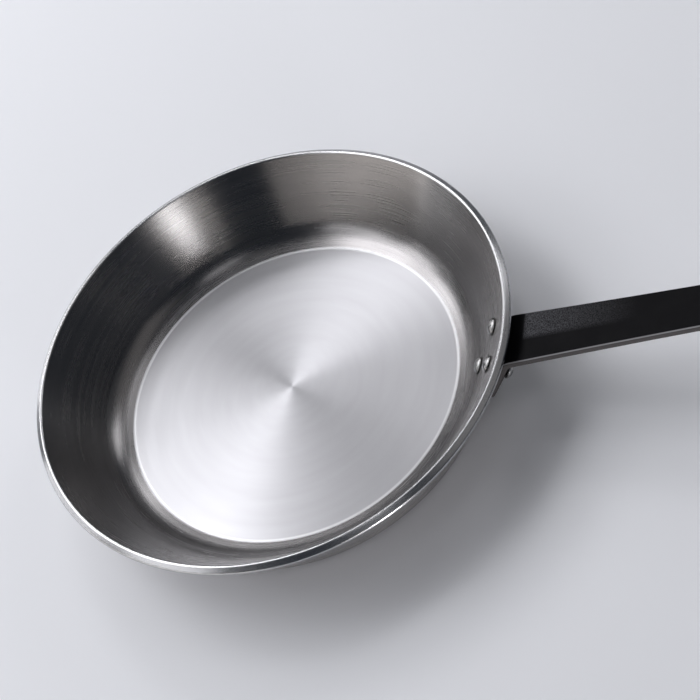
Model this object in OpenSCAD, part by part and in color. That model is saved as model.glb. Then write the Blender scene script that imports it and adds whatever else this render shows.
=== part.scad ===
// Omelette pan: a thick spun bowl, one bent strip of black steel as its handle, and three rivets.
// Millimetres. Origin on the pan's axis at the underside of the base, Z up, handle along +X.

/* [Bowl] */
// Diameter of the rim, measured on its inner line
rim_d = 234; // [210:1:280]
// Depth inside, from the floor up to the rim's inner line
depth = 39.5; // [37:0.5:60]
// Slope of the inner wall, measured from the table
inner_slope = 58; // [52:0.5:66]
// Slope of the outer wall, a little steeper because the metal thickens towards the base
outer_slope = 61; // [56:0.5:68]
// Thickness of the metal at the rim, measured square to the inner wall
rim_t = 4.2; // [2.5:0.1:6]
// Thickness of the base
base_t = 5; // [3:0.1:8]
// Radius of the sweep from floor to wall
corner_r = 12.5; // [6:0.5:16]
// Radius of the rim's two softened edges
rim_round = 1.2; // [0.4:0.1:1.2]
// Radius of the outer edge of the base
base_round = 6; // [2:0.5:9]

/* [Handle] */
// Thickness of the steel strip
strip_t = 4; // [2.5:0.1:5]
// Radius of the strip's softened long edges
strip_round = 1.3; // [0.4:0.1:1.4]
// Width of the strip on the wall and at the bend
root_w = 27.2; // [26:0.2:36]
// Width of the strip at its waist
waist_w = 21; // [16:0.5:26]
// Width of the rounded eye at the free end
eye_w = 27; // [22:0.5:34]
// Diameter of the hanging hole in the eye
hang_d = 10; // [6:0.5:14]
// Rise of the handle above the level
rise = 11; // [0:0.5:20]
// Distance from the pan's axis to the free end, measured level
reach = 330; // [270:1:400]
// Distance along the handle from the bend to the waist
waist_at = 140; // [80:1:150]
// Distance down the outer wall from the rim to where the strip leaves it
leave_at = 12; // [10:0.1:14]
// Radius of the bend on its outer side, which is the top of the strip
bend_r = 7.5; // [6:0.5:12]
// Space left on the wall between the strip's lower end and the table
leg_clear = 4.5; // [2:0.5:12]
// Radius of the strip's lower corners
leg_corner = 9; // [4:0.5:11]

/* [Rivets] */
// Diameter of a rivet's shank
shank_d = 4.6; // [3:0.1:5]
// Diameter of the domed head inside the pan
dome_d = 8.5; // [6:0.1:10]
// Height of the domed head inside the pan
dome_h = 2.2; // [1.2:0.1:3]
// Diameter of the formed head outside
button_d = 7.6; // [6:0.1:8]
// Height of the formed head outside
button_h = 2.6; // [1.5:0.1:3.5]
// Space between the bend and the outer heads of the upper two rivets
bend_clear = 0.2; // [0.1:0.1:3]
// Distance from the strip's lower end up to the axis of the third rivet
low_up = 8.8; // [7:0.1:20]
// Steel left between an upper rivet's hole and the long edge of the strip
edge_left = 1; // [0.8:0.1:2.5]

/* [Fits] */
// Gap between the strip and the wall, and under each rivet head
seat_gap = 0.1; // [0.05:0.01:0.3]
// Gap round a rivet's shank in its holes
hole_gap = 0.1; // [0.05:0.01:0.3]

/* [Hidden] */

bowl_fn = 180;
rivet_fn = 48;

// Bowl, all in the plane of its revolved outline
rim_r = rim_d / 2;
rim_z = base_t + depth;
inner_foot_r = rim_r - depth / tan(inner_slope);
outer_rim = [rim_r + rim_t * sin(inner_slope), rim_z - rim_t * cos(inner_slope)];
outer_foot_r = outer_rim.x - outer_rim.y / tan(outer_slope);
corner_steps = 12;
edge_steps = 5;
dome_turn = 10;

// Rows of rivets and end of the leg, as distances down from the rim, and the upper two rivets' spacing
leg_end = outer_rim.y / sin(outer_slope) - leg_clear;
upper_row = leave_at + bend_clear + button_d / 2;
low_row = leg_end - low_up;
pair_w = root_w - 2 * edge_left - shank_d - 2 * hole_gap;

// The sweep between floor and wall stops short of the lowest dome, which needs a straight wall
sweep_clear = 0.2;
wall_free = depth / sin(inner_slope) - low_row - dome_d / 2 - sweep_clear;
sweep_r = min(corner_r, wall_free / tan(inner_slope / 2));

// Directions along the outer wall and square to it, and along the handle and square to it
wall_up = [cos(outer_slope), sin(outer_slope)];
wall_out = [sin(outer_slope), -cos(outer_slope)];
grip_on = [cos(rise), sin(rise)];

// Stations of the strip's top line: lower end, foot of the bend, end of the bend
leg_len = leg_end - leave_at;
leave = outer_rim - leave_at * wall_up + seat_gap * wall_out;
bend_centre = leave + bend_r * wall_out;
bend_turn = outer_slope - rise;
bend_len = bend_r * bend_turn * PI / 180;
bend_end = bend_centre + bend_r * [-sin(rise), cos(rise)];
eye_r = eye_w / 2;
grip_len = (reach - bend_end.x) / cos(rise);
eye_at = grip_len - eye_r;
eye_centre = bend_end + eye_at * grip_on;
strip_len = leg_len + bend_len + grip_len;

// Rivet axes lie midway between the square of the inner and of the outer wall
rivet_slope = (inner_slope + outer_slope) / 2;
half_taper = (outer_slope - inner_slope) / 2;
rivet_turns = [1, -1, 0];
rivet_drops = [upper_row, upper_row, low_row];
// Cutters are longer than the thickness they cut by this factor
cut_through = 4;

// Point on the inner wall at a distance down from the rim's inner line
function inner_wall(s) = [rim_r - s * cos(inner_slope), rim_z - s * sin(inner_slope)];

// Thickness of the wall along a rivet's axis at a distance down from the rim
function wall_here(s) =
    rim_t / cos(half_taper) + s * sin(2 * half_taper) / cos(half_taper);

// Points of an arc that softens corner b between neighbours a and c
function soft_corner(a, b, c, r, n) =
    let (
        u = (a - b) / norm(a - b),
        v = (c - b) / norm(c - b),
        half = acos(u * v) / 2,
        mid = (u + v) / norm(u + v),
        centre = b + mid * r / sin(half),
        from = b + u * r / tan(half) - centre,
        to = b + v * r / tan(half) - centre,
        sweep = 180 - 2 * half
    )
    [for (i = [0:n]) centre + (sin(sweep * (1 - i / n)) * from + sin(sweep * i / n) * to) / sin(sweep)];

// Half width of the strip at distance u past the bend, before the eye closes
taper_power = 1.5;
function grip_half(u) =
    u < waist_at
        ? root_w / 2 + (waist_w - root_w) / 2 * (1 - pow(1 - max(u, 0) / waist_at, taper_power))
        : waist_w / 2 + (eye_w - waist_w) / 2 * ease_both(min((u - waist_at) / (eye_at - waist_at), 1));
function ease_both(t) = (1 - cos(180 * t)) / 2;

// Half width of the strip at distance s from its lower end
function strip_half(s) =
    let (u = s - leg_len - bend_len)
    s < leg_corner
        ? root_w / 2 - leg_corner + sqrt(pow(leg_corner, 2) - pow(leg_corner - s, 2))
        : u > eye_at
            ? sqrt(max(pow(eye_r, 2) - pow(u - eye_at, 2), 0))
            : grip_half(u);

// Place and heading of the strip's top line at distance s from its lower end
function strip_heading(s) =
    s < leg_len
        ? outer_slope
        : outer_slope - bend_turn * min((s - leg_len) / bend_len, 1);
function strip_place(s) =
    s < leg_len
        ? leave - (leg_len - s) * wall_up
        : s < leg_len + bend_len
            ? let (a = strip_heading(s)) bend_centre + bend_r * [-sin(a), cos(a)]
            : bend_end + (s - leg_len - bend_len) * grip_on;

// Curve across the strip: the cone's own on the leg, easing to flat where the bend ends
function strip_curve(s) =
    let (flat = min(max((s - leg_len) / bend_len, 0), 1))
    (1 - ease_both(flat)) * sin(outer_slope) / strip_place(s).x;

// How far the faces draw in near either end, which softens the end edges
function end_inset(s) =
    let (d = min(s, strip_len - s))
    d < strip_round ? strip_round - sqrt(pow(strip_round, 2) - pow(strip_round - d, 2)) : 0;

// One closed ring of the strip as [across, down] pairs, a flat bar with softened edges
face_steps = 4;
round_steps = 3;
tip_share = 0.8;
function bar_ring(half, inset) =
    let (
        rx = min(strip_round, half * tip_share),
        ry = strip_round - inset,
        w = half - rx,
        lo = strip_round,
        hi = strip_t - strip_round
    )
    concat(
        [for (i = [0:face_steps]) [-w + 2 * w * i / face_steps, inset]],
        [for (i = [1:round_steps]) let (a = 90 * i / round_steps) [w + rx * sin(a), lo - ry * cos(a)]],
        [for (i = [0:round_steps - 1]) let (a = 90 * i / round_steps) [w + rx * cos(a), hi + ry * sin(a)]],
        [for (i = [0:face_steps]) [w - 2 * w * i / face_steps, strip_t - inset]],
        [for (i = [1:round_steps]) let (a = 90 * i / round_steps) [-w - rx * sin(a), hi + ry * cos(a)]],
        [for (i = [0:round_steps - 1]) let (a = 90 * i / round_steps) [-w - rx * cos(a), lo - ry * sin(a)]]
    );
ring_size = len(bar_ring(root_w / 2, 0));

// That ring bent to the curve across the strip and set square to its heading
function strip_ring(s) =
    let (
        a = strip_heading(s),
        p = strip_place(s),
        k = strip_curve(s),
        out = [sin(a), -cos(a)]
    )
    [for (q = bar_ring(strip_half(s), end_inset(s)))
        let (
            turn = k * q.x * 180 / PI,
            y = k > 0 ? (1 / k + q.y) * sin(turn) : q.x,
            n = k > 0 ? (1 / k + q.y) * cos(turn) - 1 / k : q.y,
            at = p + n * out
        )
        [at.x, y, at.y]];

// Stations along the strip, closer together where its outline or heading turns
corner_stations = 8;
leg_stations = 2;
bend_stations = 9;
grip_stations = 7;
eye_stations = 10;
function spread(from, to, n) = [for (i = [1:n]) from + (to - from) * i / n];
function opening(from, to, n) = [for (i = [0.5:n]) from + (to - from) * (1 - cos(90 * i / n))];
function closing(from, to, n) = [for (i = [0.5:n]) from + (to - from) * sin(90 * i / n)];
bend_from = leg_len;
grip_from = leg_len + bend_len;
stations = concat(
    opening(0, leg_corner, corner_stations),
    spread(leg_corner, bend_from, leg_stations),
    spread(bend_from, grip_from, bend_stations),
    spread(grip_from, grip_from + waist_at, grip_stations),
    spread(grip_from + waist_at, grip_from + eye_at, grip_stations),
    closing(grip_from + eye_at, strip_len, eye_stations)
);

// Turns and moves its children onto the axis of rivet i, z pointing out of the pan, z = 0 on the inner wall
module on_rivet(i) {
    p = inner_wall(rivet_drops[i]);
    rotate([0, 0, rivet_turns[i] * asin(pair_w / 2 / p.x)])
        translate([p.x, 0, p.y])
            rotate([0, 180 - rivet_slope, 0])
                children();
}

module rivet_holes() {
    drill_l = cut_through * (rim_t + strip_t);
    for (i = [0:len(rivet_turns) - 1])
        on_rivet(i)
            translate([0, 0, -drill_l / 2])
                cylinder(d = shank_d + 2 * hole_gap, h = drill_l, $fn = rivet_fn);
}

module pan_body() {
    underside = [outer_foot_r, 0];
    rim_inner = [rim_r, rim_z];
    foot = [inner_foot_r, base_t];
    color([0.72, 0.72, 0.73])
        difference() {
            rotate_extrude($fn = bowl_fn)
                polygon(concat(
                    [[0, 0]],
                    soft_corner([0, 0], underside, outer_rim, base_round, corner_steps),
                    soft_corner(underside, outer_rim, rim_inner, rim_round, edge_steps),
                    soft_corner(outer_rim, rim_inner, foot, rim_round, edge_steps),
                    soft_corner(rim_inner, foot, [0, base_t], sweep_r, corner_steps),
                    [[0, base_t]]
                ));
            rivet_holes();
        }
}

module handle() {
    rings = [for (s = stations) strip_ring(s)];
    last = len(rings) - 1;
    side = face_steps + round_steps;
    faces = concat(
        [for (j = [1:ring_size - 2]) [side, (side + j) % ring_size, (side + j + 1) % ring_size]],
        [for (i = [0:last - 1], j = [0:ring_size - 1])
            let (a = i * ring_size + j, b = i * ring_size + (j + 1) % ring_size)
                each [[a, a + ring_size, b], [b, a + ring_size, b + ring_size]]],
        [for (j = [1:ring_size - 2])
            let (tip = last * ring_size)
                [tip + side, tip + (side + j + 1) % ring_size, tip + (side + j) % ring_size]]
    );
    color([0.07, 0.07, 0.08])
        difference() {
            polyhedron(points = [for (ring = rings) each ring], faces = faces, convexity = 4);
            rivet_holes();
            translate([eye_centre.x, 0, eye_centre.y])
                rotate([0, -rise, 0])
                    cylinder(d = hang_d, h = cut_through * strip_t, center = true, $fn = rivet_fn);
        }
}

module rivet(i) {
    s = rivet_drops[i];
    curve = inner_wall(s).x / sin(inner_slope);
    dome_r = dome_d / 2;
    button_r = button_d / 2;
    inside = -(dome_r * tan(half_taper) + pow(dome_r, 2) / (2 * curve) + seat_gap);
    outside = wall_here(s) + seat_gap + strip_t + button_r * tan(half_taper) + seat_gap;
    dome = [for (a = [0:dome_turn:90]) [dome_r * sin(a), inside - dome_h * cos(a)]];
    button = [for (a = [90:-dome_turn:0]) [button_r * sin(a), outside + button_h * cos(a)]];
    color([0.78, 0.78, 0.79])
        on_rivet(i)
            rotate_extrude($fn = rivet_fn)
                polygon(concat(
                    dome,
                    [[shank_d / 2, inside], [shank_d / 2, outside]],
                    button
                ));
}

pan_body();
handle();
rivet(0);  // rivet_left
rivet(1);  // rivet_right
rivet(2);  // rivet_low
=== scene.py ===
# %% [markdown]
# # An omelette pan, from bare sizes to a finished picture
# The pan is three things: a thick bowl spun from aluminium, a bent strip of black steel, and three
# rivets that hold them together. The imported CAD model gives every place and every size. This script
# adds what CAD leaves out: smooth surfaces, the circular marks of the lathe, the black coating, wear,
# the light and the camera. It loads the frame first.

# %% Load the frame
import math
import bpy
import bmesh
import numpy as np
from mathutils import Matrix, Vector


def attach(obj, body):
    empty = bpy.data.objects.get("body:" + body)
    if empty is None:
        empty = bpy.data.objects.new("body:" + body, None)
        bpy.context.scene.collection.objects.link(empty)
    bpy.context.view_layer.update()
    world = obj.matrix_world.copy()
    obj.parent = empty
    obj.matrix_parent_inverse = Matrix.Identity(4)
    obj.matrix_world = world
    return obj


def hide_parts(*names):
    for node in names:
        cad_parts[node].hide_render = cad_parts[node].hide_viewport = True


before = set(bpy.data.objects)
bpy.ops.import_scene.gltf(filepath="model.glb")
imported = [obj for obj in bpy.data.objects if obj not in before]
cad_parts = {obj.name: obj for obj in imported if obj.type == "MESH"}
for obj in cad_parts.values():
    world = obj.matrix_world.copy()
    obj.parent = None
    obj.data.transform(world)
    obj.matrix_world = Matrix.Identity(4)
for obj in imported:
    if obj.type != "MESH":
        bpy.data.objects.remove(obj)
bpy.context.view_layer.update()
print("nodes in the frame:", sorted(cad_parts))

# %% [markdown]
# ## Sizes
# These are the real pan's sizes in millimetres, as in the CAD source. Only the crease round the floor
# and the sweep that starts there are finer here: the CAD model has one plain corner radius instead.
# With all sizes in one place, an outline below can be read as a drawing: a radius here, a slope there.
# `mm` turns a length into Blender's metres at the last moment.

# %% Sizes of the real pan
MM_PER_M = 1000

def mm(length):
    return length / MM_PER_M

RIM_R, DEPTH, BASE_T = 117.0, 39.5, 5.0
INNER_SLOPE, OUTER_SLOPE = math.radians(58), math.radians(61)
RIM_T, RIM_ROUND, BASE_ROUND = 4.2, 1.2, 6.0
CREASE_R, CREASE_ROUND, SWEEP_SLOPE, SWEEP_ROUND = 85.3, 5.0, math.radians(20), 17.0
RIM_Z = BASE_T + DEPTH
RIM_OUT = np.array([RIM_R + RIM_T * math.sin(INNER_SLOPE), RIM_Z - RIM_T * math.cos(INNER_SLOPE)])
FLOOR_R = RIM_R - DEPTH / math.tan(INNER_SLOPE)
SWEEP_UP = (FLOOR_R - CREASE_R) / (1 / math.tan(SWEEP_SLOPE) - 1 / math.tan(INNER_SLOPE))
SWEEP_END = np.array([CREASE_R + SWEEP_UP / math.tan(SWEEP_SLOPE), BASE_T + SWEEP_UP])
BASE_R = RIM_OUT[0] - RIM_OUT[1] / math.tan(OUTER_SLOPE)
print(f"bowl: rim {2 * RIM_OUT[0]:.1f} mm across, wall meets floor at {FLOOR_R:.1f}, base {2 * BASE_R:.1f}")

# %% [markdown]
# ## The camera
# A camera was fitted to the photograph's rim, floor edge and handle. It looks down at about 50 degrees
# and is rolled by 30, because the photographer leaned the pan while this one stands flat. Building the
# matrix from a place, an aim and a roll keeps it readable. The lens is long, so the rim hardly distorts.

# %% Make the camera
CAMERA_AT, CAMERA_AIM = (304.8, -399.64, 614.12), (27.3, 19.88, 5.0)
CAMERA_ROLL, CAMERA_LENS, SENSOR_W = math.radians(-30.4), 82.29, 36
CLIP_NEAR, CLIP_FAR = 0.05, 30

def new_object(name, data):
    made = bpy.data.objects.new(name, data)
    bpy.context.scene.collection.objects.link(made)
    return made

def aim(place, target, roll=0.0):
    place, target = Vector(place), Vector(target)
    turn = (target - place).to_track_quat("-Z", "Y").to_matrix() @ Matrix.Rotation(roll, 3, "Z")
    return Matrix.Translation(place) @ turn.to_4x4()

camera = new_object("camera", bpy.data.cameras.new("camera"))
camera.data.lens, camera.data.sensor_width = CAMERA_LENS, SENSOR_W
camera.data.clip_start, camera.data.clip_end = CLIP_NEAR, CLIP_FAR
camera.matrix_world = aim([mm(v) for v in CAMERA_AT], [mm(v) for v in CAMERA_AIM], CAMERA_ROLL)
bpy.context.scene.camera = camera
print("camera", [round(v, 3) for v in camera.matrix_world.translation])

# %% [markdown]
# ## Writing node trees
# Geometry trees and shader trees are written with the same few helpers. `new_group` makes a tree with
# named inputs and outputs, `put` feeds a socket with a value or with another node, and `add` makes a
# node with its settings and feeds. A tree can then be read from top to bottom like a sum.

# %% Helpers for node trees
def new_group(name, kind, inputs, outputs):
    tree = bpy.data.node_groups.new(name, kind)
    for label, socket, value in inputs:
        made = tree.interface.new_socket(label, in_out="INPUT", socket_type=socket)
        if value is not None:
            made.default_value = value
    for label, socket in outputs:
        tree.interface.new_socket(label, in_out="OUTPUT", socket_type=socket)
    return tree, tree.nodes.new("NodeGroupInput"), tree.nodes.new("NodeGroupOutput")

def put(tree, socket, feed):
    if isinstance(feed, bpy.types.NodeSocket):
        tree.links.new(feed, socket)
    elif isinstance(feed, bpy.types.Node):
        tree.links.new(feed.outputs[0], socket)
    else:
        socket.default_value = feed

def add(tree, kind, *feeds, **settings):
    node = tree.nodes.new(kind)
    for key, value in settings.items():
        setattr(node, key, value)
    for slot, feed in enumerate(feeds):
        put(tree, node.inputs[slot], feed)
    return node

def maths(tree, what, *feeds):
    return add(tree, "ShaderNodeMath", *feeds, operation=what).outputs[0]

def ramp(tree, value, low, high, to_low=0.0, to_high=1.0, shape="LINEAR"):
    made = add(tree, "ShaderNodeMapRange", value, low, high, to_low, to_high, interpolation_type=shape)
    return made.outputs[0]

# %% [markdown]
# ## A lathe made of nodes
# The bowl and the rivets are turned shapes: one outline swept round an axis. Blender has a Screw
# modifier for that, but a Geometry Nodes lathe can be reused as a group inside other trees, has its
# sizes as named inputs, and closes its own seam and poles. It makes a grid with one row per outline
# point and one column per step round the axis, and bends the grid into place by looking up the radius
# and height of each row.

# %% The lathe group
BOWL_STEPS, RIVET_STEPS, MERGE_WITHIN, ANY_SIZE = 256, 48, 1e-6, 1.0
lathe, enter, leave = new_group(
    "Lathe", "GeometryNodeTree",
    [("Outline", "NodeSocketGeometry", None), ("Steps Round", "NodeSocketInt", BOWL_STEPS),
     ("Merge", "NodeSocketFloat", MERGE_WITHIN)],
    [("Mesh", "NodeSocketGeometry")])
points = add(lathe, "GeometryNodeAttributeDomainSize", enter.outputs["Outline"], component="MESH")
columns = maths(lathe, "ADD", enter.outputs["Steps Round"], 1)
grid = add(lathe, "GeometryNodeMeshGrid", ANY_SIZE, ANY_SIZE, points.outputs["Point Count"], columns)
index = add(lathe, "GeometryNodeInputIndex")
row = maths(lathe, "FLOOR", maths(lathe, "DIVIDE", index, columns))
column = maths(lathe, "MODULO", index, columns)
angle = maths(lathe, "MULTIPLY", maths(lathe, "DIVIDE", column, enter.outputs["Steps Round"]), math.tau)
lookup = lathe.nodes.new("GeometryNodeSampleIndex")
lookup.data_type, lookup.domain = "FLOAT_VECTOR", "POINT"
put(lathe, lookup.inputs["Geometry"], enter.outputs["Outline"])
put(lathe, lookup.inputs["Value"], add(lathe, "GeometryNodeInputPosition"))
put(lathe, lookup.inputs["Index"], row)
split = add(lathe, "ShaderNodeSeparateXYZ", lookup.outputs["Value"])
around = add(lathe, "ShaderNodeCombineXYZ",
             maths(lathe, "MULTIPLY", split.outputs["X"], maths(lathe, "COSINE", angle)),
             maths(lathe, "MULTIPLY", split.outputs["X"], maths(lathe, "SINE", angle)),
             split.outputs["Z"])
bent = add(lathe, "GeometryNodeSetPosition", grid.outputs["Mesh"])
put(lathe, bent.inputs["Position"], around)
closed = add(lathe, "GeometryNodeMergeByDistance", bent)
put(lathe, closed.inputs["Distance"], enter.outputs["Merge"])
outward = add(lathe, "GeometryNodeFlipFaces", closed)
put(lathe, leave.inputs["Mesh"], add(lathe, "GeometryNodeSetShadeSmooth", outward))
print("lathe:", len(lathe.nodes), "nodes")

# %% [markdown]
# Two trees use the lathe, one for the bowl and one for the rivets. They start alike, with the lathe fed
# from their own inputs, and they end alike, with Realize Instances and Set Material, because the export
# drops instances. So the start and the end are a function each.

# %% Helpers for the start and the end of a turned piece
def spun(tree, enter):
    spin = tree.nodes.new("GeometryNodeGroup")
    spin.node_tree = lathe
    for label in ("Outline", "Steps Round"):
        put(tree, spin.inputs[label], enter.outputs[label])
    return spin

def dressed(tree, shape, enter, leave):
    coat = add(tree, "GeometryNodeSetMaterial", add(tree, "GeometryNodeRealizeInstances", shape))
    put(tree, coat.inputs["Material"], enter.outputs["Finish"])
    put(tree, leave.inputs["Mesh"], coat)

# %% [markdown]
# A finished piece must be a plain mesh with its object at the origin, because the export drops
# modifiers. These helpers put an outline into Blender, run a tree on it, and freeze the result. A
# tree's inputs are set by the socket's identifier, which stays the same when labels change. `report`
# measures what came out: a closed mesh whose faces point outwards has a volume above zero.

# %% Helpers for pieces
CM3_PER_M3 = 1e6

def outline_object(name, outline):
    data = bpy.data.meshes.new(name)
    edges = [(i, i + 1) for i in range(len(outline) - 1)]
    data.from_pydata([(mm(r), 0, mm(z)) for r, z in outline], edges, [])
    return new_object(name, data)

def freeze(piece):
    bpy.context.view_layer.update()
    solid = piece.evaluated_get(bpy.context.evaluated_depsgraph_get())
    data = bpy.data.meshes.new_from_object(solid)
    piece.modifiers.clear()
    piece.data = data
    data.name = piece.name
    return piece

def run_tree(piece, tree, **values):
    modifier = piece.modifiers.new("shape", "NODES")
    modifier.node_group = tree
    names = {item.name.replace(" ", "_"): item.identifier
             for item in tree.interface.items_tree if item.in_out == "INPUT"}
    for key, value in values.items():
        modifier[names[key]] = value
    return freeze(piece)

def volume_cm3(piece):
    work = bmesh.new()
    work.from_mesh(piece.data)
    volume = work.calc_volume(signed=True) * CM3_PER_M3
    work.free()
    return volume

def report(piece):
    size = [round(v * MM_PER_M, 1) for v in piece.dimensions]
    piece.data.calc_loop_triangles()
    triangles = len(piece.data.loop_triangles)
    print(f"{piece.name}: {size} mm, {triangles} triangles, {volume_cm3(piece):.1f} cm3")

# %% [markdown]
# ## The bowl
# A spinner presses a disc of aluminium over a wooden former on a lathe. That leaves straight flared
# sides, a swept corner between wall and floor, and a rim cut square to the wall with its two edges
# softened. The floor is faced flat afterwards, so it ends in a faint crease where the sweep begins.
# The outline is a list of corners with a radius each. Beside every rounded corner sits one more point
# on the straight part, so that smooth shading stays true to the flat faces.

# %% Helpers for outlines
def rounded(corners, steps=14, beside=0.3):
    line = []
    for i, (corner, radius) in enumerate(corners):
        corner = np.array(corner, float)
        if not radius:
            line.append(corner)
            continue
        before = np.array(corners[i - 1][0], float) - corner
        after = np.array(corners[i + 1][0], float) - corner
        before, after = before / np.linalg.norm(before), after / np.linalg.norm(after)
        half = math.acos(before @ after) / 2
        reach = radius / math.tan(half)
        middle = corner + (before + after) / np.linalg.norm(before + after) * radius / math.sin(half)
        start, end = corner + before * reach, corner + after * reach
        line.append(start + before * beside)
        sweep = math.pi - 2 * half
        for t in np.linspace(0, 1, steps + 1):
            a = math.sin(sweep * (1 - t)) / math.sin(sweep)
            b = math.sin(sweep * t) / math.sin(sweep)
            line.append(middle + a * (start - middle) + b * (end - middle))
        line.append(end + after * beside)
    return line

def filled_in(line, longest):
    out = [line[0]]
    for start, end in zip(line, line[1:]):
        parts = max(1, math.ceil(np.linalg.norm(end - start) / longest))
        out += [start + (end - start) * k / parts for k in range(1, parts + 1)]
    return out

# %% Outline of the bowl
LONGEST_STEP = 9
bowl_line = filled_in(rounded([
    ((0, 0), 0), ((BASE_R, 0), BASE_ROUND), (RIM_OUT, RIM_ROUND), ((RIM_R, RIM_Z), RIM_ROUND),
    (SWEEP_END, SWEEP_ROUND), ((CREASE_R, BASE_T), CREASE_ROUND), ((0, BASE_T), 0)]), LONGEST_STEP)
print("bowl outline:", len(bowl_line), "points")

# %% Turn the bowl on the node lathe
turned, enter, leave = new_group(
    "Turned Piece", "GeometryNodeTree",
    [("Outline", "NodeSocketGeometry", None), ("Steps Round", "NodeSocketInt", BOWL_STEPS),
     ("Finish", "NodeSocketMaterial", None)],
    [("Mesh", "NodeSocketGeometry")])
dressed(turned, spun(turned, enter), enter, leave)

bowl_metal = bpy.data.materials.new("spun_aluminium")
bowl = run_tree(outline_object("bowl", bowl_line), turned, Steps_Round=BOWL_STEPS, Finish=bowl_metal)
report(bowl)

# %% [markdown]
# ## The rivets
# Each rivet is a soft aluminium pin. Its domed head is made first and sits inside the pan; the other
# end is pressed over the strip into a narrower button. A rivet leans by the mean of the wall's two
# slopes, and both heads keep clear of the faces that taper under them. One tree turns the outline on
# the lathe group and then carries it to its seat, so the same tree serves all three places.

# %% Where the rivets sit
RIVET_SLOPE = (INNER_SLOPE + OUTER_SLOPE) / 2
HALF_TAPER = (OUTER_SLOPE - INNER_SLOPE) / 2
STRIP_T, SEAT_GAP = 4.0, 0.1
UPPER_ROW, PAIR_W = 16.0, 20.4
LEG_CLEAR, LOW_UP = 4.5, 8.8
LEG_END = RIM_OUT[1] / math.sin(OUTER_SLOPE) - LEG_CLEAR
LOW_ROW = LEG_END - LOW_UP
RIVETS = {"rivet_left": (1, UPPER_ROW), "rivet_right": (-1, UPPER_ROW), "rivet_low": (0, LOW_ROW)}

def on_wall(drop):
    return RIM_R - drop * math.cos(INNER_SLOPE), RIM_Z - drop * math.sin(INNER_SLOPE)

def swing(side, drop):
    return side * math.asin(PAIR_W / 2 / on_wall(drop)[0])

print("rivets, millimetres down the wall:", {name: round(drop, 1) for name, (side, drop) in RIVETS.items()})

# %% Outline of a rivet
SHANK_D, DOME_D, DOME_H, BUTTON_D, BUTTON_H = 4.6, 8.5, 2.2, 7.6, 2.6
HEAD_EDGE, HEAD_POINTS = 0.35, 15

# Heights run along the pin from the wall's inner face. The dome lies below zero, inside the pan.
def rivet_line(drop):
    wall = RIM_T / math.cos(HALF_TAPER) + drop * math.sin(2 * HALF_TAPER) / math.cos(HALF_TAPER)
    hollow = (DOME_D / 2) ** 2 / (2 * on_wall(drop)[0] / math.sin(INNER_SLOPE))
    low = -(DOME_D / 2 * math.tan(HALF_TAPER) + hollow + SEAT_GAP)
    high = wall + STRIP_T + 2 * SEAT_GAP + BUTTON_D / 2 * math.tan(HALF_TAPER)
    turns = np.radians(np.linspace(0, 90, HEAD_POINTS))
    dome = [(DOME_D / 2 * math.sin(a), low - DOME_H * math.cos(a)) for a in turns]
    button = [(BUTTON_D / 2 * math.sin(a), high + BUTTON_H * math.cos(a)) for a in turns[::-1]]
    dome[-1] = (DOME_D / 2, low - HEAD_EDGE)
    button[0] = (BUTTON_D / 2, high + HEAD_EDGE)
    shank = [(DOME_D / 2 - HEAD_EDGE / 2, low), (SHANK_D / 2, low),
             (SHANK_D / 2, high), (BUTTON_D / 2 - HEAD_EDGE / 2, high)]
    return dome + shank + button

print("rivet outline:", len(rivet_line(UPPER_ROW)), "points")

# %% Turn and seat the rivets
seated, enter, leave = new_group(
    "Seated Rivet", "GeometryNodeTree",
    [("Outline", "NodeSocketGeometry", None), ("Steps Round", "NodeSocketInt", RIVET_STEPS),
     ("Seat", "NodeSocketVector", None), ("Lean", "NodeSocketFloat", 0.0), ("Turn", "NodeSocketFloat", 0.0),
     ("Finish", "NodeSocketMaterial", None)],
    [("Mesh", "NodeSocketGeometry")])
lean = add(seated, "ShaderNodeCombineXYZ", 0.0, enter.outputs["Lean"], 0.0)
leaned = add(seated, "GeometryNodeTransform", spun(seated, enter))
put(seated, leaned.inputs["Rotation"], lean)
put(seated, leaned.inputs["Translation"], enter.outputs["Seat"])
turn = add(seated, "ShaderNodeCombineXYZ", 0.0, 0.0, enter.outputs["Turn"])
swung = add(seated, "GeometryNodeTransform", leaned)
put(seated, swung.inputs["Rotation"], turn)
dressed(seated, swung, enter, leave)

rivet_metal = bpy.data.materials.new("rivet_aluminium")
rivets = {}
for name, (side, drop) in RIVETS.items():
    r, z = on_wall(drop)
    piece = outline_object(name + "_turned", rivet_line(drop))
    rivets[name] = run_tree(piece, seated, Steps_Round=RIVET_STEPS, Seat=(mm(r), 0, mm(z)),
                            Lean=math.pi - RIVET_SLOPE, Turn=swing(side, drop), Finish=rivet_metal)
    report(rivets[name])

# %% [markdown]
# ## The handle
# On the real pan this is one strip of steel, 4 mm thick, with its edges rolled soft. It is bent once,
# riveted flat against the wall below the bend, and formed there to the curve of the wall. A modeller
# could sweep a bar along a path, but the width, the bend and the curve across all change on the way.
# So it is lofted: one closed ring of points at each station, every ring bent to that station's curve.

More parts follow.
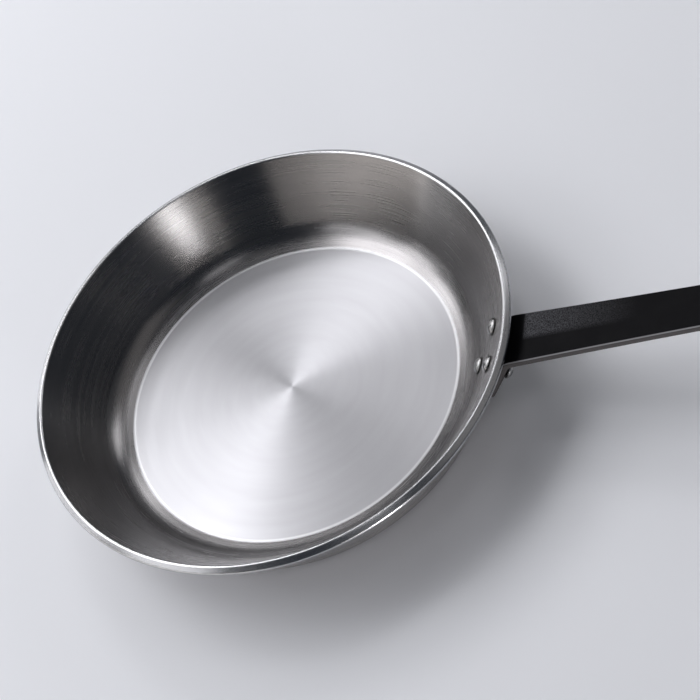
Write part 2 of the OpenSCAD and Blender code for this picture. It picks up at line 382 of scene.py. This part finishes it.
# %% The strip's line
STRIP_ROUND, ROOT_W, WAIST_W, EYE_W = 1.3, 27.2, 21.0, 27.0
HANG_D, REACH, WAIST_AT, LEAVE_AT = 10.0, 330.0, 140.0, 12.0
RISE, BEND_R, LEG_CORNER = math.radians(11), 7.5, 9.0
WALL_UP = np.array([math.cos(OUTER_SLOPE), math.sin(OUTER_SLOPE)])
WALL_OUT = np.array([math.sin(OUTER_SLOPE), -math.cos(OUTER_SLOPE)])
GRIP_ON = np.array([math.cos(RISE), math.sin(RISE)])
LEG_LEN = LEG_END - LEAVE_AT
LEAVE = RIM_OUT - LEAVE_AT * WALL_UP + SEAT_GAP * WALL_OUT
BEND_MID = LEAVE + BEND_R * WALL_OUT
BEND_TURN = OUTER_SLOPE - RISE
BEND_LEN = BEND_R * BEND_TURN
BEND_END = BEND_MID + BEND_R * np.array([-math.sin(RISE), math.cos(RISE)])
GRIP_LEN = (REACH - BEND_END[0]) / math.cos(RISE)
EYE_AT = GRIP_LEN - EYE_W / 2
GRIP_FROM, STRIP_LEN = LEG_LEN + BEND_LEN, LEG_LEN + BEND_LEN + GRIP_LEN

def into_bend(s):
    return min(max((s - LEG_LEN) / BEND_LEN, 0), 1)

def heading(s):
    return OUTER_SLOPE - BEND_TURN * into_bend(s)

def strip_at(s):
    if s < LEG_LEN:
        return LEAVE - (LEG_LEN - s) * WALL_UP
    if s < GRIP_FROM:
        return BEND_MID + BEND_R * np.array([-math.sin(heading(s)), math.cos(heading(s))])
    return BEND_END + (s - GRIP_FROM) * GRIP_ON

print(f"strip: leg {LEG_LEN:.1f}, bend {BEND_LEN:.1f}, grip {GRIP_LEN:.1f} mm")

# %% The strip's width and its curve across
TAPER_POWER = 1.5

def ease(t):
    return (1 - math.cos(math.pi * t)) / 2

def half_width(s):
    u = s - GRIP_FROM
    if s < LEG_CORNER:
        return ROOT_W / 2 - LEG_CORNER + math.sqrt(LEG_CORNER ** 2 - (LEG_CORNER - s) ** 2)
    if u > EYE_AT:
        return math.sqrt(max((EYE_W / 2) ** 2 - (u - EYE_AT) ** 2, 0))
    if u < WAIST_AT:
        return ROOT_W / 2 + (WAIST_W - ROOT_W) / 2 * (1 - (1 - max(u, 0) / WAIST_AT) ** TAPER_POWER)
    return WAIST_W / 2 + (EYE_W - WAIST_W) / 2 * ease(min((u - WAIST_AT) / (EYE_AT - WAIST_AT), 1))

def curve_across(s):
    return (1 - ease(into_bend(s))) * math.sin(OUTER_SLOPE) / strip_at(s)[0]

print(f"curve across the leg: radius {1 / curve_across(0):.0f} mm, half width {half_width(LEG_LEN):.1f} mm")

# %% One ring of the loft
NEARLY_FLAT, WIDEST_ROUND = 1e-6, 0.8

# The ring's face points sit evenly, with one more beside each rounded edge to keep the face flat.
def bar_ring(half, inset, across=10, steps=6, beside=0.35):
    rx, ry = min(STRIP_ROUND, half * WIDEST_ROUND), STRIP_ROUND - inset
    flat = half - rx
    near = min(beside, flat / 3)
    face = [-flat, -flat + near] + list(np.linspace(-flat, flat, across + 1)[1:-1]) + [flat - near, flat]
    turns = [math.pi / 2 * i / steps for i in range(1, steps)]
    top = [(y, inset) for y in sorted(face)]
    right = [(flat + rx * math.sin(a), STRIP_ROUND - ry * math.cos(a)) for a in turns]
    right += [(half, STRIP_ROUND), (half, STRIP_T - STRIP_ROUND)]
    right += [(flat + rx * math.cos(a), STRIP_T - STRIP_ROUND + ry * math.sin(a)) for a in turns]
    bottom = [(y, STRIP_T - inset) for y in sorted(face, reverse=True)]
    left = [(-y, STRIP_T - d) for y, d in right]
    return top + right + bottom + left

def bent_ring(s):
    end = min(s, STRIP_LEN - s)
    inset = STRIP_ROUND - math.sqrt(STRIP_ROUND ** 2 - (STRIP_ROUND - end) ** 2) if end < STRIP_ROUND else 0
    slope, curve, ring = heading(s), curve_across(s), []
    for y, down in bar_ring(half_width(s), inset):
        wide, deep = y, down
        if curve > NEARLY_FLAT:
            wide = (1 / curve + down) * math.sin(curve * y)
            deep = (1 / curve + down) * math.cos(curve * y) - 1 / curve
        x, z = strip_at(s) + deep * np.array([math.sin(slope), -math.cos(slope)])
        ring.append((mm(x), mm(wide), mm(z)))
    return ring

print("points in a ring:", len(bent_ring(GRIP_FROM)))

# %% Loft the strip
FIRST_TURN, END_STATIONS, LEG_STATIONS, BEND_STATIONS, GRIP_STATIONS = 3, 16, 5, 17, 34
quarter = np.radians(np.linspace(FIRST_TURN, 90, END_STATIONS))
stations = [*(LEG_CORNER * (1 - np.cos(quarter))),
            *np.linspace(LEG_CORNER, LEG_LEN, LEG_STATIONS)[1:],
            *np.linspace(LEG_LEN, GRIP_FROM, BEND_STATIONS)[1:],
            *np.linspace(GRIP_FROM, GRIP_FROM + EYE_AT, GRIP_STATIONS)[1:],
            *(STRIP_LEN - EYE_W / 2 * (1 - np.sin(quarter[:-1] - quarter[0] / 2)))]
rings = [bent_ring(s) for s in sorted(stations)]
ring_size, last = len(rings[0]), len(rings) - 1

def side_face(i, j):
    here, there, after = i * ring_size, (i + 1) * ring_size, (j + 1) % ring_size
    return here + j, there + j, there + after, here + after

faces = [side_face(i, j) for i in range(last) for j in range(ring_size)]
faces += [tuple(range(ring_size)), tuple(range(last * ring_size, len(rings) * ring_size))[::-1]]
data = bpy.data.meshes.new("strip")
data.from_pydata([point for ring in rings for point in ring], [], faces)
strip = new_object("strip", data)
report(strip)

# %% [markdown]
# ## Holes in the strip
# The strip is drilled for the three rivets, and punched at its free end so that it can hang on a hook.
# A Boolean cuts all the holes at once, with one drill per hole joined into one mesh, and the drills are
# deleted afterwards. The hanging hole's edge shows, so a narrow Bevel softens it, limited to sharp
# edges by their angle.

# %% Make the drills
HOLE_CLEAR = 0.1

def drill(radius, place, matrix, length=24, steps=64):
    work = bmesh.new()
    bmesh.ops.create_cone(work, cap_ends=True, segments=steps, radius1=mm(radius), radius2=mm(radius),
                          depth=mm(length))
    seat = Matrix.Translation([mm(v) for v in place]) @ matrix
    bmesh.ops.transform(work, matrix=seat, verts=work.verts)
    return work

def rivet_axis(side, drop):
    r, z = on_wall(drop)
    turn = Matrix.Rotation(swing(side, drop), 4, "Z")
    return turn @ Vector((r, 0, z)), turn @ Matrix.Rotation(math.pi - RIVET_SLOPE, 4, "Y")

eye = BEND_END + EYE_AT * GRIP_ON
cuts = [(HANG_D / 2, (eye[0], 0, eye[1]), Matrix.Rotation(-RISE, 4, "Y"))]
cuts += [(SHANK_D / 2 + HOLE_CLEAR, *rivet_axis(side, drop)) for side, drop in RIVETS.values()]
drills = bpy.data.meshes.new("drills")
joined = bmesh.new()
for cut in cuts:
    single = drill(*cut)
    single.to_mesh(drills)
    single.free()
    joined.from_mesh(drills)
joined.to_mesh(drills)
joined.free()
print("drills:", len(cuts))

# %% Drill the strip and soften the edges
EDGE_SOFT, SOFT_STEPS, SHARP_OVER, CREASED_OVER = 0.4, 3, math.radians(60), math.radians(40)
cutter = new_object("drills", drills)
modifier = strip.modifiers.new("drill", "BOOLEAN")
modifier.object, modifier.operation, modifier.solver = cutter, "DIFFERENCE", "EXACT"
freeze(strip)
bpy.data.objects.remove(cutter)
modifier = strip.modifiers.new("soften", "BEVEL")
modifier.width, modifier.segments, modifier.limit_method = mm(EDGE_SOFT), SOFT_STEPS, "ANGLE"
modifier.angle_limit = SHARP_OVER
freeze(strip)
strip.data.shade_smooth()
strip.data.set_sharp_from_angle(angle=CREASED_OVER)
report(strip)

# %% [markdown]
# ## Lines left by tools
# Two materials need the same effect: fine lines drawn by a tool. A lathe draws rings on the bowl, and
# the rolls of a mill draw straight lines along the steel. Both change fast across the lines and slowly
# along them, so a noise is read at a point built from one fast and two slow coordinates. As a shader
# node group it is built once, and each metal gives its own directions and spacing.

# %% The group for tool lines
BROAD_SHARE, LINE_DETAIL, LINE_ROUGHNESS, USUAL_LINES = 0.22, 1.0, 0.7, 1500.0
drawn, enter, leave = new_group(
    "Tool Lines", "ShaderNodeTree",
    [("Along", "NodeSocketVector", None), ("Across", "NodeSocketFloat", 0.0),
     ("Lines per Metre", "NodeSocketFloat", USUAL_LINES)],
    [("Fine", "NodeSocketFloat"), ("Broad", "NodeSocketFloat")])
slow = add(drawn, "ShaderNodeSeparateXYZ", enter.outputs["Along"])

def line_noise(density):
    fast = maths(drawn, "MULTIPLY", enter.outputs["Across"], density)
    where = add(drawn, "ShaderNodeCombineXYZ", slow.outputs["X"], slow.outputs["Y"], fast)
    noise = drawn.nodes.new("ShaderNodeTexNoise")
    put(drawn, noise.inputs["Vector"], where)
    put(drawn, noise.inputs["Scale"], 1.0)
    put(drawn, noise.inputs["Detail"], LINE_DETAIL)
    put(drawn, noise.inputs["Roughness"], LINE_ROUGHNESS)
    return noise.outputs[0]

density = enter.outputs["Lines per Metre"]
put(drawn, leave.inputs["Fine"], line_noise(density))
put(drawn, leave.inputs["Broad"], line_noise(maths(drawn, "MULTIPLY", density, BROAD_SHARE)))
print("tool lines:", len(drawn.nodes), "nodes")

# %% [markdown]
# ## Handling marks
# Every piece has been touched and wiped. A soft blotchy mask stands for the film that this leaves, and
# all three materials use it, each with its own size of blotch. The group gives a mask only: each
# material decides what it does to its own colour and roughness.

# %% The group for handling marks
SMUDGE_FROM, SMUDGE_FULL, SMUDGE_DETAIL, USUAL_BLOTCH = 0.35, 0.70, 4.0, 0.03
handled, enter, leave = new_group(
    "Handling Marks", "ShaderNodeTree",
    [("Point", "NodeSocketVector", None), ("Blotch Size", "NodeSocketFloat", USUAL_BLOTCH)],
    [("Smudge", "NodeSocketFloat")])
blotch = handled.nodes.new("ShaderNodeTexNoise")
put(handled, blotch.inputs["Vector"], enter.outputs["Point"])
put(handled, blotch.inputs["Scale"], maths(handled, "DIVIDE", 1.0, enter.outputs["Blotch Size"]))
put(handled, blotch.inputs["Detail"], SMUDGE_DETAIL)
smudge = ramp(handled, blotch.outputs[0], SMUDGE_FROM, SMUDGE_FULL, shape="SMOOTHSTEP")
put(handled, leave.inputs["Smudge"], smudge)
print("handling marks:", len(handled.nodes), "nodes")

# %% [markdown]
# ## Writing materials
# A Mix node has sockets for every kind of data, so the ones for colour are known by their numbers.
# `blend` hides that, and takes plain colours and other nodes alike. `raised` turns a height into a bump.

# %% Helpers for materials
MIX_LOW, MIX_HIGH, MIX_OUT = 6, 7, 2

def open_material(material):
    material.use_nodes = True
    tree = material.node_tree
    tree.nodes.clear()
    shader = tree.nodes.new("ShaderNodeBsdfPrincipled")
    out = tree.nodes.new("ShaderNodeOutputMaterial")
    tree.links.new(shader.outputs[0], out.inputs["Surface"])
    return tree, shader, tree.nodes.new("ShaderNodeTexCoord").outputs["Object"]

def use_group(tree, group, **values):
    node = tree.nodes.new("ShaderNodeGroup")
    node.node_tree = group
    for key, value in values.items():
        put(tree, node.inputs[key.replace("_", " ")], value)
    return node

def opaque(colour):
    return (*colour, 1) if isinstance(colour, tuple) else colour

def blend(tree, mask, low, high):
    mix = tree.nodes.new("ShaderNodeMix")
    mix.data_type = "RGBA"
    put(tree, mix.inputs[0], mask)
    put(tree, mix.inputs[MIX_LOW], opaque(low))
    put(tree, mix.inputs[MIX_HIGH], opaque(high))
    return mix.outputs[MIX_OUT]

def raised(tree, shader, height, strength, distance):
    bump = tree.nodes.new("ShaderNodeBump")
    put(tree, bump.inputs["Strength"], strength)
    put(tree, bump.inputs["Distance"], distance)
    put(tree, bump.inputs["Height"], height)
    put(tree, shader.inputs["Normal"], bump.outputs["Normal"])

# %% [markdown]
# ## Spun aluminium
# The grooves of the lathe run round the pan, so the metal scatters light across them much more than
# along them. That is what makes the bow-tie of light on the floor. The Principled shader does this with
# Anisotropic and a Tangent node that runs round Z. The bowl has four zones: a floor faced with a
# pointed tool, walls that the spinning roller left smoother, a swept corner whose colour is darkened as
# painted shade to dim the lamps' glow there, and brighter metal on the rim, worn by rubbing and also a
# painted highlight, with a thin painted highlight ring on the crease round the floor. The radius, and
# the distance up along the wall, say which zone a point has.

# %% Spun aluminium: rings of the lathe
tree, shader, point = open_material(bowl_metal)
ARCS_ROUND, CLIMB, RING_DENSITY, BOWL_BLOTCH = 1.4, 0.6, 850.0, 0.035
axes = add(tree, "ShaderNodeSeparateXYZ", point)
level = add(tree, "ShaderNodeCombineXYZ", axes.outputs["X"], axes.outputs["Y"], 0.0)
radius = add(tree, "ShaderNodeVectorMath", level, operation="LENGTH").outputs["Value"]
outwards = add(tree, "ShaderNodeVectorMath", level, operation="NORMALIZE")
around = add(tree, "ShaderNodeVectorMath", outwards, (ARCS_ROUND, ARCS_ROUND, 0), operation="MULTIPLY")
across = maths(tree, "MULTIPLY_ADD", axes.outputs["Z"], CLIMB, radius)
rings = use_group(tree, drawn, Along=around, Across=across, Lines_per_Metre=RING_DENSITY)
touch = use_group(tree, handled, Point=point, Blotch_Size=BOWL_BLOTCH)
print("spun aluminium:", RING_DENSITY, "rings to a metre")

# %% Spun aluminium: masks of the zones, the painted shade and the painted highlights
RIM_UP = RIM_R * math.cos(INNER_SLOPE) + RIM_Z * math.sin(INNER_SLOPE)
RIM_BAND_FROM, RIM_BAND_FULL = RIM_UP - 1.3, RIM_UP - 0.7
# A thin ring just inside the crease takes the bright rim colour: a painted highlight.
CREASE_HIGHLIGHT_R, CREASE_HIGHLIGHT_HALF, CREASE_HIGHLIGHT_SOFT = CREASE_R - 0.6, 0.25, 0.45
WALL_FROM, WALL_FULL = CREASE_R, CREASE_R + 0.6
# The swept corner's painted shade fades out between these two radii.
SWEEP_FADE_FROM, SWEEP_FADE_TO = 91.0, 101.0
up_wall = maths(tree, "MULTIPLY_ADD", axes.outputs["Z"], math.sin(INNER_SLOPE),
                maths(tree, "MULTIPLY", radius, math.cos(INNER_SLOPE)))
off_line = maths(tree, "ABSOLUTE", maths(tree, "SUBTRACT", radius, mm(CREASE_HIGHLIGHT_R)))
# line is the mask of that painted highlight ring.
line = ramp(tree, off_line, mm(CREASE_HIGHLIGHT_HALF), mm(CREASE_HIGHLIGHT_HALF + CREASE_HIGHLIGHT_SOFT), 1.0, 0.0)
wall = ramp(tree, radius, mm(WALL_FROM), mm(WALL_FULL))
# The sweep mask darkens the swept corner's colour: painted shade that dims the lamps' glow there.
sweep = ramp(tree, radius, mm(SWEEP_FADE_FROM), mm(SWEEP_FADE_TO), 1.0, 0.0)
# The rim band takes brighter metal: wear from rubbing, and also a painted highlight.
rim = ramp(tree, up_wall, mm(RIM_BAND_FROM), mm(RIM_BAND_FULL))
print("spun aluminium: floor faced out to", CREASE_R, "mm, sweep dull out to", SWEEP_FADE_TO, "mm")

# %% Spun aluminium: colour
FLOOR_DARK, FLOOR_LIGHT = (0.327, 0.325, 0.338), (0.366, 0.364, 0.379)
WALL_DARK, WALL_LIGHT = (0.280, 0.271, 0.270), (0.338, 0.328, 0.326)
# The sweep's colours, darker than the wall's, are painted shade in the swept corner.
SWEEP_SHADE_DARK, SWEEP_SHADE_LIGHT = (0.214, 0.207, 0.208), (0.266, 0.258, 0.260)
# Bright colours for the rim (wear and painted highlight) and the crease ring (painted highlight).
RUBBED_AND_HIGHLIGHT_DARK, RUBBED_AND_HIGHLIGHT_LIGHT = (0.45, 0.45, 0.46), (0.53, 0.53, 0.54)
wall_colour = blend(tree, rings.outputs["Broad"], WALL_DARK, WALL_LIGHT)
sweep_shade_colour = blend(tree, rings.outputs["Broad"], SWEEP_SHADE_DARK, SWEEP_SHADE_LIGHT)
floor_colour = blend(tree, rings.outputs["Broad"], FLOOR_DARK, FLOOR_LIGHT)
rubbed_and_highlight_colour = blend(tree, rings.outputs["Fine"], RUBBED_AND_HIGHLIGHT_DARK, RUBBED_AND_HIGHLIGHT_LIGHT)
base = blend(tree, wall, floor_colour, blend(tree, sweep, wall_colour, sweep_shade_colour))
# The rim band and the crease ring take the bright colour here: painted highlight, on the rim with wear.
put(tree, shader.inputs["Base Color"], blend(tree, maths(tree, "MAXIMUM", rim, line), base, rubbed_and_highlight_colour))
put(tree, shader.inputs["Metallic"], 1.0)
print("spun aluminium: four finishes on one metal")

# %% [markdown]
# The bump here is far too shallow to change the outline. It only lets each ring catch the light in its
# own way. The tangent gives the direction in which the metal is brushed, and a quarter turn of
# Anisotropic Rotation lays the long axis of each highlight across the rings.

# %% Spun aluminium: roughness and grooves
ROUGH_BASE, ROUGH_RINGS, ROUGH_SMUDGE, ROUGH_WALL = 0.26, 0.10, 0.03, -0.06
BRUSHED, QUARTER_TURN = 0.8, 0.25
GROOVE_STRENGTH, GROOVE_DEPTH = 0.3, 0.04
rough = maths(tree, "MULTIPLY_ADD", rings.outputs["Fine"], ROUGH_RINGS, ROUGH_BASE)
rough = maths(tree, "MULTIPLY_ADD", touch.outputs["Smudge"], ROUGH_SMUDGE, rough)
rough = maths(tree, "MULTIPLY_ADD", wall, ROUGH_WALL, rough)
put(tree, shader.inputs["Roughness"], rough)
put(tree, shader.inputs["Anisotropic"], BRUSHED)
put(tree, shader.inputs["Anisotropic Rotation"], QUARTER_TURN)
tangent = tree.nodes.new("ShaderNodeTangent")
tangent.direction_type, tangent.axis = "RADIAL", "Z"
put(tree, shader.inputs["Tangent"], tangent)
raised(tree, shader, rings.outputs["Fine"], GROOVE_STRENGTH, mm(GROOVE_DEPTH))
print("spun aluminium:", len(tree.nodes), "nodes")

# %% [markdown]
# ## Rivet aluminium
# The rivets are pressed, not turned, so they have no rings. They are small and smooth, and only the
# film of handling changes their grey and how sharply they mirror the room.

# %% Material: rivet aluminium
PIN_DARK, PIN_LIGHT = (0.32, 0.318, 0.316), (0.40, 0.398, 0.396)
PIN_BLOTCH, PIN_ROUGH, PIN_ROUGH_SMUDGE = 0.004, 0.24, 0.08
tree, shader, point = open_material(rivet_metal)
touch = use_group(tree, handled, Point=point, Blotch_Size=PIN_BLOTCH)
put(tree, shader.inputs["Base Color"], blend(tree, touch.outputs["Smudge"], PIN_DARK, PIN_LIGHT))
put(tree, shader.inputs["Metallic"], 1.0)
rough = maths(tree, "MULTIPLY_ADD", touch.outputs["Smudge"], PIN_ROUGH_SMUDGE, PIN_ROUGH)
put(tree, shader.inputs["Roughness"], rough)
print("rivet aluminium:", len(tree.nodes), "nodes")

# %% [markdown]
# ## Black coating
# The strip is steel with a baked black coat. It is not quite matt: a fine grain breaks the reflection
# of the lamps into a soft grey sheen. Three places carry painted light. A grey patch on the top near
# the bowl, on its far half, is a painted sheen. The rounded edge on the near side carries a painted
# highlight, and the narrow side under it a brown painted reflection of the table. The surface's own
# direction finds them: the top faces up, the side faces -Y, and the rounded edge faces partly both ways.

# %% Black steel: grain and rolled lines
handle_coat = bpy.data.materials.new("black_steel")
tree, shader, point = open_material(handle_coat)
ROLL_DENSITY, ROLL_WANDER, GRAIN_DENSITY, GRAIN_DETAIL, COAT_BLOTCH = 1200.0, 25.0, 1800.0, 2.0, 0.02
axes = add(tree, "ShaderNodeSeparateXYZ", point)
along = add(tree, "ShaderNodeVectorMath", point, (ROLL_WANDER, 0.0, 0.0), operation="MULTIPLY")
rolled = use_group(tree, drawn, Along=along, Across=axes.outputs["Y"], Lines_per_Metre=ROLL_DENSITY)
touch = use_group(tree, handled, Point=point, Blotch_Size=COAT_BLOTCH)
grain = tree.nodes.new("ShaderNodeTexNoise")
put(tree, grain.inputs["Vector"], point)
put(tree, grain.inputs["Scale"], GRAIN_DENSITY)
put(tree, grain.inputs["Detail"], GRAIN_DETAIL)
print("black steel:", ROLL_DENSITY, "rolled lines to a metre")

# %% Black steel: masks of the painted sheen, highlight and reflection
# These bound a grey patch on the top near the bowl: a painted sheen.
SHEEN_FROM, SHEEN_FULL, SHEEN_END = 124.2, 125.2, 178.0
SHEEN_NEAR, SHEEN_SIDE = -2.0, 1.0
TOP_FROM, TOP_FULL, SPECK_FROM, SPECK_FULL = 0.7, 0.9, 0.3, 0.7
EDGE_UP_FROM, EDGE_UP_FULL, EDGE_OUT_FROM, EDGE_OUT_FULL = 0.50, 0.65, -0.35, -0.50
SIDE_FROM, SIDE_FULL = -0.75, -0.95
facing = add(tree, "ShaderNodeSeparateXYZ", tree.nodes.new("ShaderNodeNewGeometry").outputs["Normal"])
upward = ramp(tree, facing.outputs["Z"], TOP_FROM, TOP_FULL)
starts = ramp(tree, axes.outputs["X"], mm(SHEEN_FROM), mm(SHEEN_FULL))
fades = ramp(tree, axes.outputs["X"], mm(SHEEN_FULL), mm(SHEEN_END), 1.0, 0.0)
beside = ramp(tree, axes.outputs["Y"], mm(SHEEN_NEAR), mm(SHEEN_SIDE))
lengthwise = maths(tree, "MULTIPLY", starts, fades)
# The top near the bowl turns grey here, broken by the grain: a painted sheen.
painted_sheen = maths(tree, "MULTIPLY", lengthwise, maths(tree, "MULTIPLY", beside, upward))
speckled_sheen = maths(tree, "MULTIPLY", painted_sheen, ramp(tree, grain.outputs[0], SPECK_FROM, SPECK_FULL))
# The edge mask finds the rounded edge on the -Y side, which gets a painted highlight.
edge = maths(tree, "MULTIPLY", ramp(tree, facing.outputs["Z"], EDGE_UP_FROM, EDGE_UP_FULL),
             ramp(tree, facing.outputs["Y"], EDGE_OUT_FROM, EDGE_OUT_FULL))
# The side mask finds the narrow -Y side, which gets a painted reflection of the table.
side = ramp(tree, facing.outputs["Y"], SIDE_FROM, SIDE_FULL)
print("black steel: rubbed from", SHEEN_FROM, "to", SHEEN_END, "mm from the pan's middle")

# %% Black steel: colour, roughness and bump
COAT_DARK, COAT_LIGHT = (0.003, 0.003, 0.004), (0.006, 0.006, 0.007)
# The grey and brown colours here are painted light: a sheen on the top, a highlight on the near rounded
# edge, a reflection of the table on the -Y side.
SHEEN_GREY, EDGE_HIGHLIGHT_GREY, SIDE_REFLECTION_BROWN = (0.11, 0.11, 0.12), (0.24, 0.24, 0.25), (0.085, 0.080, 0.080)
COAT_ROUGH, COAT_ROUGH_SMUDGE, COAT_ROUGH_ROLLED, COAT_MIRROR = 0.30, 0.08, 0.06, 0.03
GRAIN_STRENGTH, GRAIN_DEPTH, ROLLED_SHARE = 0.35, 0.06, 0.4
black = blend(tree, touch.outputs["Smudge"], COAT_DARK, COAT_LIGHT)
# The narrow -Y side turns brown here, a painted reflection of the table; the grey patch is the painted
# sheen.
black = blend(tree, side, blend(tree, speckled_sheen, black, SHEEN_GREY), SIDE_REFLECTION_BROWN)
# The near rounded edge turns grey here: a painted highlight.
put(tree, shader.inputs["Base Color"], blend(tree, edge, black, EDGE_HIGHLIGHT_GREY))
rough = maths(tree, "MULTIPLY_ADD", touch.outputs["Smudge"], COAT_ROUGH_SMUDGE, COAT_ROUGH)
rough = maths(tree, "MULTIPLY_ADD", rolled.outputs["Broad"], COAT_ROUGH_ROLLED, rough)
put(tree, shader.inputs["Roughness"], rough)
put(tree, shader.inputs["Specular IOR Level"], COAT_MIRROR)
height = maths(tree, "MULTIPLY_ADD", rolled.outputs["Fine"], ROLLED_SHARE, grain.outputs[0])
raised(tree, shader, height, GRAIN_STRENGTH, mm(GRAIN_DEPTH))
strip.data.materials.clear()
strip.data.materials.append(handle_coat)
print("black steel:", len(tree.nodes), "nodes")

# %% [markdown]
# ## In place of the CAD nodes
# Each piece now stands for its CAD node. The pan has no joint, so every piece rides on the one body.

# %% Put the pieces in place of the CAD nodes
for piece, node, slot in ((bowl, "pan_body", "spun_aluminium"), (strip, "handle", "black_steel"),
                          *((rivets[name], name, "rivet_aluminium") for name in rivets)):
    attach(piece, "root")
    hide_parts(node)
    print(piece.name, "stands for", node)

# %% [markdown]
# ## The studio
# The pan stands on a pale table in a dim room with large windows behind it and to the left. The
# brushed floor mixes the light of many directions, and each strip of the walls shows one of them:
# a window at the right gives the small glow on the left of the swept corner, a pale wall at the front
# left greys the far wall of the pan, and a bright doorway low at the front puts the spot at its top
# left. Each is an area lamp that faces the pan, so one function and a list of directions make them.

# %% The table
TABLE_HALF, TABLE_COLOUR, TABLE_ROUGH = 4, (0.91, 0.92, 0.955), 0.9
CORNERS = ((-1, -1), (1, -1), (1, 1), (-1, 1))
data = bpy.data.meshes.new("floor")
data.from_pydata([(TABLE_HALF * x, TABLE_HALF * y, 0) for x, y in CORNERS], [], [(0, 1, 2, 3)])
floor = new_object("floor", data)
paper = bpy.data.materials.new("table_paper")
tree, shader, point = open_material(paper)
put(tree, shader.inputs["Base Color"], opaque(TABLE_COLOUR))
put(tree, shader.inputs["Roughness"], TABLE_ROUGH)
data.materials.append(paper)
print("table:", 2 * TABLE_HALF, "m square")

# %% [markdown]
# Each row names a lamp and gives its direction from the pan (degrees round from +X, degrees up), its
# width and height in metres, its power in watts and its colour. All lamps stand at the same distance.

# %% Lamps
LAMP_DISTANCE, CENTRE = 2.0, (0, 0, 0.03)
COOL, WARM = (0.98, 0.98, 1.0), (1.0, 0.95, 0.91)
LAMPS = (
    ("window_behind_left", 146, 42, 0.75, 0.42, 4.1, COOL),
    ("window_behind_right", 108, 44, 0.50, 0.42, 3.1, COOL),
    ("window_behind_low", 122, 36, 0.42, 0.42, 3.0, COOL),
    ("window_corner", 155, 34, 0.80, 0.42, 1.2, COOL),
    ("window_left_low", 184, 34, 0.60, 0.42, 2.4, COOL),
    ("window_left", 179, 52, 1.45, 0.95, 9.0, COOL),
    ("window_left_high", 158, 58, 1.10, 0.60, 6.5, COOL),
    ("skylight", 104, 62, 0.60, 0.42, 2.0, COOL),
    ("ceiling", 300, 76, 0.40, 0.40, 0.8, COOL),
    ("far_window", 150, 8, 0.70, 0.45, 3.6, COOL),
    ("low_window", 185, 10, 0.85, 0.34, 2.4, COOL),
    ("side_window", 64, 36, 0.50, 0.60, 2.4, COOL),
    ("window_front_left", 221, 38, 0.95, 0.55, 2.6, COOL),
    ("pale_wall", 229, 8, 2.80, 0.45, 7.6, WARM),
    ("doorway", 310, 6, 0.34, 0.17, 11.0, COOL),
    ("hall", 307, 7, 0.95, 0.26, 4.2, WARM),
    ("room_front", 22, 50, 1.80, 1.20, 1.7, WARM))

def toward(azimuth, elevation):
    azimuth, elevation = math.radians(azimuth), math.radians(elevation)
    level = LAMP_DISTANCE * math.cos(elevation)
    return level * math.cos(azimuth), level * math.sin(azimuth), LAMP_DISTANCE * math.sin(elevation)

for name, azimuth, elevation, width, height, power, colour in LAMPS:
    lamp = bpy.data.lights.new(name, "AREA")
    lamp.shape, lamp.size, lamp.size_y = "RECTANGLE", width, height
    lamp.energy, lamp.color = power, colour
    new_object(name, lamp).matrix_world = aim(toward(azimuth, elevation), CENTRE)
print("lamps:", len(LAMPS))

# %% The room's own dim light
UP_WAY, UP_FROM, UP_FULL = (-0.40, 0.32, 0.86), 0.45, 0.95
ROOM_STRENGTH, UP_STRENGTH, ROOM_BLUE = 0.036, 0.03, (0.52, 0.70, 1.0)
world = bpy.data.worlds.new("room")
bpy.context.scene.world = world
world.use_nodes = True
tree = world.node_tree
tree.nodes.clear()
sky = tree.nodes.new("ShaderNodeBackground")
out = tree.nodes.new("ShaderNodeOutputWorld")
tree.links.new(sky.outputs[0], out.inputs["Surface"])
way = tree.nodes.new("ShaderNodeTexCoord").outputs["Generated"]
facing = add(tree, "ShaderNodeVectorMath", way, UP_WAY, operation="DOT_PRODUCT").outputs["Value"]
strength = ramp(tree, facing, UP_FROM, UP_FULL, ROOM_STRENGTH, UP_STRENGTH, shape="SMOOTHSTEP")
put(tree, sky.inputs["Color"], opaque(ROOM_BLUE))
put(tree, sky.inputs["Strength"], strength)
print("world:", len(tree.nodes), "nodes")

# %% [markdown]
# ## View settings
# Standard shows the colours as they are written.

# %% View settings
bpy.context.scene.view_settings.view_transform = "Standard"
